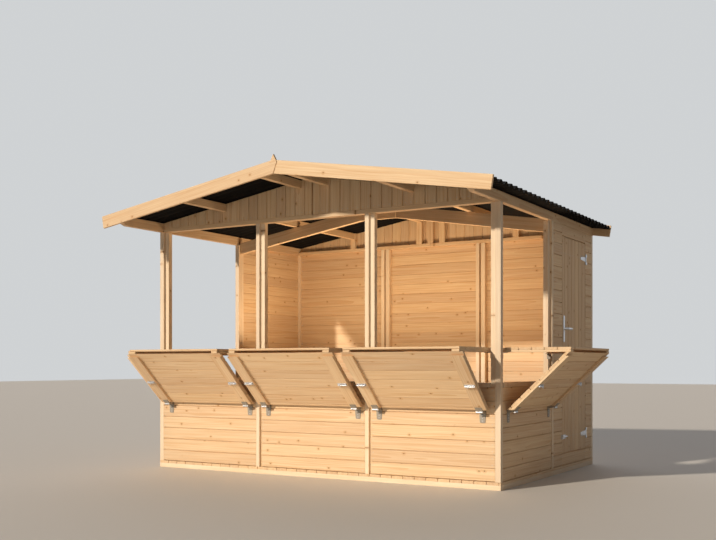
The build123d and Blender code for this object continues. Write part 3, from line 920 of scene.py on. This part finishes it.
class STALL_OT_hatch_bolts(bpy.types.Operator):
    """Put a rod, two staples, a knob and four screws on the plate of each barrel bolt"""

    bl_idname = "stall.hatch_bolts"
    bl_label = "Barrel bolts"

    def execute(self, context):
        sizes, _, _ = settings()
        # How far a screw sits from the end and from the long edge of the plate
        from_end, from_edge = 0.009, 0.006
        merged = copy_node("hatch_bolts", "bolt_plates")
        leaves = [copy_node(name + "_leaf", name + "_guide") for name, _ in HATCH_SIDES]
        centres = [part_axes(leaf.data, part)[0] for leaf in leaves for part in islands(leaf.data)]
        plate_length = 0
        rods = []
        screws = []
        for part in islands(merged.data):
            middle, long, broad, thin = part_axes(merged.data, part)
            own = [(merged.data.vertices[i].co - middle) for i in part]
            half_length = max(v.dot(long) for v in own)
            half_width = max(v.dot(broad) for v in own)
            half_thick = max(v.dot(thin) for v in own)
            out = thin if thin.z < 0 else -thin
            near = min(centres, key=lambda c: (c - middle).length)
            tip = long if (middle - near).dot(long) > 0 else -long
            side = out.cross(tip)
            turn = Matrix((tip, side, out)).transposed()
            rods.append((middle + out * half_thick, turn))
            for a in (-1, 1):
                for b in (-1, 1):
                    at = middle + tip * (half_length - from_end) * a + side * (half_width - from_edge) * b
                    screws.append((at + out * half_thick, out))
            plate_length = half_length * 2
        for guide in leaves + [merged]:
            bpy.data.objects.remove(guide)

        # One bolt, lying along X with its plate below: the rod, its turned-up knob and two bent staples
        rod, knob_radius, staple_radius = sizes.bolt_rod, sizes.bolt_rod * 0.8, sizes.bolt_rod * 1.45
        knob_length, knob_centre, staple_width = 0.018, rod * 2 + 0.006, 0.012
        rod_height = rod + 0.001
        # Shares of the plate's length
        rod_share, rod_ahead, knob_at, staples_at = 0.96, 0.04, -0.1, (-0.3, 0.3)
        lying = (0, math.pi / 2, 0)
        pieces = [
            cylinder(16, rod, plate_length * rod_share, (plate_length * rod_ahead, 0, rod_height), lying),
            cylinder(12, knob_radius, knob_length, (plate_length * knob_at, 0, knob_centre)),
        ]
        for at in staples_at:
            place = (plate_length * at, 0, rod_height)
            pieces.append(cylinder(20, staple_radius, staple_width, place, lying))
        bolt = join(pieces, "hatch_bolt_rod")
        saw(bolt, Z, 0, True)
        ease_all(bolt, sizes.metal_ease, 1)
        made = []
        for place, turn in rods:
            copy = copy_piece(bolt, "hatch_bolt_rods")
            copy.data.transform(Matrix.Translation(place) @ turn.to_4x4())
            made.append(copy)
        bpy.data.objects.remove(bolt)
        finish_piece(join(made, "hatch_bolt_rods"), bright_zinc(), "zinc_plated_steel", "stall")
        screw_heads("hatch_bolt_screws", screws, "stall")
        return {"FINISHED"}


class STALL_OT_hinge_details(bpy.types.Operator):
    """Shape the hatch hinges, with their barrels and screws, and set the screws of the door's straps"""

    bl_idname = "stall.hinge_details"
    bl_label = "Hinges and screws"

    def execute(self, context):
        sizes, _, _ = settings()
        # Share of the widening that is left at the foot of the plate on the wall
        foot_share = 0.4
        # How far the barrel lies inside the knee and below the foot of the leaf
        barrel_in, barrel_down = 0.009, 0.0155
        screws_down = (0.042, 0.062, 0.082)
        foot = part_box("front_hatch_leaf")[0].z
        hinges = copy_node("hatch_hinges", "hatch_hinges_plated")
        verts = hinges.data.vertices
        barrels, screws = [], []
        for part in islands(hinges.data):
            points = [verts[i].co.copy() for i in part]
            low = Vector([min(p[axis] for p in points) for axis in range(3)])
            high = Vector([max(p[axis] for p in points) for axis in range(3)])
            middle = (low + high) / 2
            out = -Y if high.y - low.y > high.x - low.x else X * math.copysign(1, middle.x)
            run = Z.cross(out)
            wall = min(p.dot(out) for p in points)
            half = max((p - middle).dot(run) for p in points)
            knee = max((p for p in points if p.z < foot + SAME_PLANE), key=lambda p: p.dot(out))
            tip = max((p for p in points if p.z > high.z - SAME_PLANE), key=lambda p: p.dot(out))
            slope = (out * (tip - knee).dot(out) + Z * (tip - knee).z).normalized()

            # The plate on the wall tapers to its foot, all above it is widened, and both ends are cut back
            for i, point in zip(part, points):
                at_foot = point.z < low.z + SAME_PLANE
                wider = (point - middle).dot(run) * (sizes.hinge_width / 2 / half - 1)
                verts[i].co = point + run * wider * (foot_share if at_foot else 1)
                if at_foot:
                    verts[i].co += Z * sizes.hinge_raise
                elif point.z > high.z - SAME_PLANE:
                    verts[i].co -= slope * sizes.strap_cut
            centre = run * middle.dot(run)
            barrels.append((centre + out * (knee.dot(out) - barrel_in) + Z * (foot - barrel_down), run))
            for down in screws_down:
                screws.append((centre + out * (wall + PLATE) + Z * (foot - down), out))
        lowest = reach(hinges, Z)[0]
        ease_edges(
            hinges,
            lambda a, b: max(a.z, b.z) < lowest + SAME_PLANE and (b - a).length < sizes.hinge_corner,
            sizes.hinge_corner,
            4,
        )
        ease_all(hinges, sizes.metal_ease, 1)
        finish_piece(hinges, worn_zinc(), "zinc_plated_steel", "stall", "hatch_hinges")

        # Three knuckles on a pin that stands a little proud of them, all along Z
        knuckle, knuckle_radius, knuckle_gap, pin_radius = sizes.hinge_width / 3, 0.008, 0.0007, 0.004
        pin_length = knuckle * 3.1
        pieces = []
        for at in (-knuckle, 0, knuckle):
            pieces.append(cylinder(20, knuckle_radius, knuckle - knuckle_gap, (0, 0, at)))
        pieces.append(cylinder(16, pin_radius, pin_length, (0, 0, 0)))
        barrel = join(pieces, "hinge_barrel")
        ease_all(barrel, sizes.metal_ease, 1)
        barrel = stamp(barrel, "hatch_hinge_barrels", barrels)
        finish_piece(barrel, bright_zinc(), "zinc_plated_steel", "stall")
        screw_heads("hatch_hinge_screws", screws, "stall")

        # Each of the door's two straps has four heights: two at its knuckle and two at its tip
        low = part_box("door_straps")[0]
        merged = copy_node("door_straps", "strap_guide")
        heights = sorted({round(v.co.z, 4) for v in merged.data.vertices})
        bpy.data.objects.remove(merged)
        middles = ((heights[0] + heights[3]) / 2, (heights[-1] + heights[-4]) / 2)
        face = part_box("door_leaf")[1].x + PLATE
        steps_along = (0.014, 0.05, 0.09)
        screws = [(Vector((face, low.y + step, z)), X) for z in middles for step in steps_along]
        screw_heads("door_strap_screws", screws, "door")
        return {"FINISHED"}


class STALL_OT_roof(bpy.types.Operator):
    """Lay the corrugated sheets and the ridge cap"""

    bl_idname = "stall.roof"
    bl_label = "Roof"

    def execute(self, context):
        finish = finish_named("corrugated_bitumen_sheet", bitumen_sheet)
        for node in ("roof_sheet_left", "roof_sheet_right", "ridge_cap"):
            sheet = copy_node(node, node + "_felted")
            pick(sheet)
            bpy.ops.object.shade_smooth_by_angle(angle=math.radians(50))
            finish_piece(sheet, finish, "bitumen_sheet", "stall", node)
        return {"FINISHED"}


def crests(sheet, x, top):
    """Places where the waves of a sheet are highest, along a line over a purlin."""
    steps, flat_top = 600, 0.0006
    low, high = reach(sheet, Y)
    heights = []
    for step in range(steps + 1):
        y = low + (high - low) * step / steps
        hit, spot, _, _ = sheet.ray_cast(Vector((x, y, top)), -Z)
        heights.append((spot.z if hit else -1, y))
    found = []
    best = max(height for height, _ in heights)
    run = []
    for height, y in heights:
        if height > best - flat_top:
            run.append(y)
        elif run:
            found.append(Vector((x, sum(run) / len(run), best)))
            run = []
    return found


class STALL_OT_roof_nails(bpy.types.Operator):
    """Set a capped nail on every third wave crest over each purlin"""

    bl_idname = "stall.roof_nails"
    bl_label = "Roof nails"

    def execute(self, context):
        sizes, _, _ = settings()
        half_purlin, roof_slope, above_roof = 0.0225, 0.16, 0.1
        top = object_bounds()[1].z + above_roof
        spots = []
        for side, name in ((-1, "left"), (1, "right")):
            slope = Vector((side * roof_slope, 0, 1)).normalized()
            for purlins, node in (
                ("ridge_purlins", "ridge_cap"),
                ("mid_purlins", "roof_sheet_" + name),
                ("eave_purlins", "roof_sheet_" + name),
            ):
                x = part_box(purlins)[1].x - half_purlin
                sheet = copy_node(node, node + "_guide")
                spots += [(place, slope) for place in crests(sheet, side * x, top)[1::3]]
                bpy.data.objects.remove(sheet)
        cap = small_cone(10, sizes.roof_cap, 0.55, 0.6)
        ease_all(cap, sizes.roof_cap * 0.15, 1)
        caps = stamp(cap, "roof_nail_caps", spots)
        finish_piece(caps, finish_named("corrugated_bitumen_sheet", bitumen_sheet), "bitumen_sheet", "stall")
        return {"FINISHED"}


def add_light(name, kind, strength, tint, place, aim):
    """A light at one place that shines along one direction."""
    light = bpy.data.lights.new(name, kind)
    light.energy = strength
    light.color = tint[:3]
    lamp = bpy.data.objects.new(name, light)
    lamp.location = place
    lamp.rotation_euler = Vector(aim).to_track_quat("-Z", "Y").to_euler()
    bpy.context.scene.collection.objects.link(lamp)
    return lamp


class STALL_OT_stage(bpy.types.Operator):
    """Set up the floor, the soft light and the camera"""

    bl_idname = "stall.stage"
    bl_label = "Stage"

    def execute(self, context):
        _, _, studio = settings()
        scene = context.scene
        bpy.ops.object.select_all(action="DESELECT")
        bpy.ops.mesh.primitive_plane_add(size=80)
        floor = context.object
        floor.name = "studio_floor"
        # A plain matt floor, which shows the stall's shadow and no gloss
        finish, _, shader = new_finish("plain_pale_floor")
        shader.inputs["Base Color"].default_value = studio.floor
        shader.inputs["Roughness"].default_value = 0.85
        floor.data.materials.append(finish)
        floor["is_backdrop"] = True

        # The key comes low over the viewer's left shoulder: 21 degrees off square to the front, 23 degrees up
        heading, height = math.radians(21), math.radians(23)
        level = Vector((-math.sin(heading), -math.cos(heading), 0))
        back = level * math.cos(height) + Z * math.sin(height)
        key = add_light("key_light", "SUN", studio.key, studio.key_colour, back * 10, -back)
        key.data.angle = studio.key_angle

        # A weak, very wide light from behind on the left keeps the stall's back from going dark
        down = (0.5, -0.8, -0.4)
        rear = add_light("rear_fill", "SUN", studio.rear_fill, studio.surround_colour, (0, 0, 0), down)
        rear.data.angle = math.radians(70)

        # A pale card on the ground throws light up at the hatches, and a warm, hidden lamp just above the
        # counters shines up and back into the stall
        low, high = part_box("floor_boards")
        width = high.x - low.x
        card_ahead, card_height, card_depth = 0.75, 0.02, 0.7
        lamp_height, lamp_width, lamp_depth = 1.12, width * 0.8, 0.3
        place = (0, low.y - card_ahead, card_height)
        card = add_light("front_card", "AREA", studio.card_power, studio.key_colour, place, Z)
        place, up = (0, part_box("truss_left")[1].y, lamp_height), (0, 0.3, 0.95)
        lamp = add_light("stall_lamp", "AREA", studio.lamp_power, studio.lamp_colour, place, up)
        for fill, long_side, short_side in ((card, width, card_depth), (lamp, lamp_width, lamp_depth)):
            fill.data.shape = "RECTANGLE"
            fill.data.size = long_side
            fill.data.size_y = short_side
            fill.visible_camera = False

        # The surround lights the stall, and only the camera and glossy surfaces see the paler backdrop
        world = bpy.data.worlds.new("studio_surround")
        world.use_nodes = True
        tree = world.node_tree
        unseen = tree.nodes["Background"]
        unseen.inputs["Color"].default_value = studio.surround_colour
        unseen.inputs["Strength"].default_value = studio.surround
        seen = add_node(tree, "Background", {"Color": studio.backdrop, "Strength": 0.85})
        to_camera = add_node(tree, "LightPath", out="Is Camera Ray")
        to_gloss = to_camera.node.outputs["Is Glossy Ray"]
        ray = add_node(tree, "Math", {"operation": "MAXIMUM"}, {0: to_camera, 1: to_gloss})
        both = add_node(tree, "MixShader", {}, {0: ray, 1: unseen.outputs[0], 2: seen})
        tree.links.new(both, tree.nodes["World Output"].inputs["Surface"])
        scene.world = world
        scene.view_settings.view_transform = "Standard"

        # The camera as fitted to the board lines: focal length and horizon in pixels, place in metres
        image_width, image_height, focal, horizon = 716, 540, 959.5, 364.78
        place, heading = (4.3565, -7.448, 0.927), math.radians(30.74)
        lens = bpy.data.cameras.new("camera")
        lens.sensor_width = 36
        lens.lens = focal / image_width * lens.sensor_width
        lens.shift_y = (horizon - image_height / 2) / image_width
        camera = bpy.data.objects.new("camera", lens)
        camera.location = place
        camera.rotation_euler = (math.radians(90), 0, heading)
        scene.collection.objects.link(camera)
        scene.camera = camera
        return {"FINISHED"}


class STALL_PT_panel(bpy.types.Panel):
    """The stall's sizes, colours and steps"""

    bl_label = "Market stall"
    bl_idname = "STALL_PT_panel"
    bl_space_type = "VIEW_3D"
    bl_region_type = "UI"
    bl_category = "Stall"

    def draw(self, context):
        for group in settings():
            box = self.layout.box()
            for name in group.bl_rna.properties.keys():
                if name not in ("rna_type", "name"):
                    box.prop(group, name)
        for step in STEPS:
            self.layout.operator(step.bl_idname)


GROUPS = (("stall_sizes", StallSizes), ("stall_colours", StallColours), ("stall_studio", StallStudio))
STEPS = (
    STALL_OT_wall_boards,
    STALL_OT_gables,
    STALL_OT_timbers,
    STALL_OT_floor,
    STALL_OT_hatch_leaves,
    STALL_OT_hatch_counters,
    STALL_OT_door,
    STALL_OT_door_stops,
    STALL_OT_fittings,
    STALL_OT_hatch_bolts,
    STALL_OT_hinge_details,
    STALL_OT_roof,
    STALL_OT_roof_nails,
    STALL_OT_stage,
)


def register():
    """Register the groups, the operators and the panel."""
    for name, group in GROUPS:
        bpy.utils.register_class(group)
        setattr(bpy.types.Scene, name, bpy.props.PointerProperty(type=group))
    for step in STEPS:
        bpy.utils.register_class(step)
    bpy.utils.register_class(STALL_PT_panel)


def unregister():
    """Take back all that register did."""
    bpy.utils.unregister_class(STALL_PT_panel)
    for step in reversed(STEPS):
        bpy.utils.unregister_class(step)
    for name, group in reversed(GROUPS):
        delattr(bpy.types.Scene, name)
        bpy.utils.unregister_class(group)


def main():
    """Build the stall step by step."""
    register()
    bpy.context.tool_settings.mesh_select_mode = (False, True, False)
    for step in STEPS:
        group, name = step.bl_idname.split(".")
        getattr(getattr(bpy.ops, group), name)()


if __name__ == "__main__":
    main()
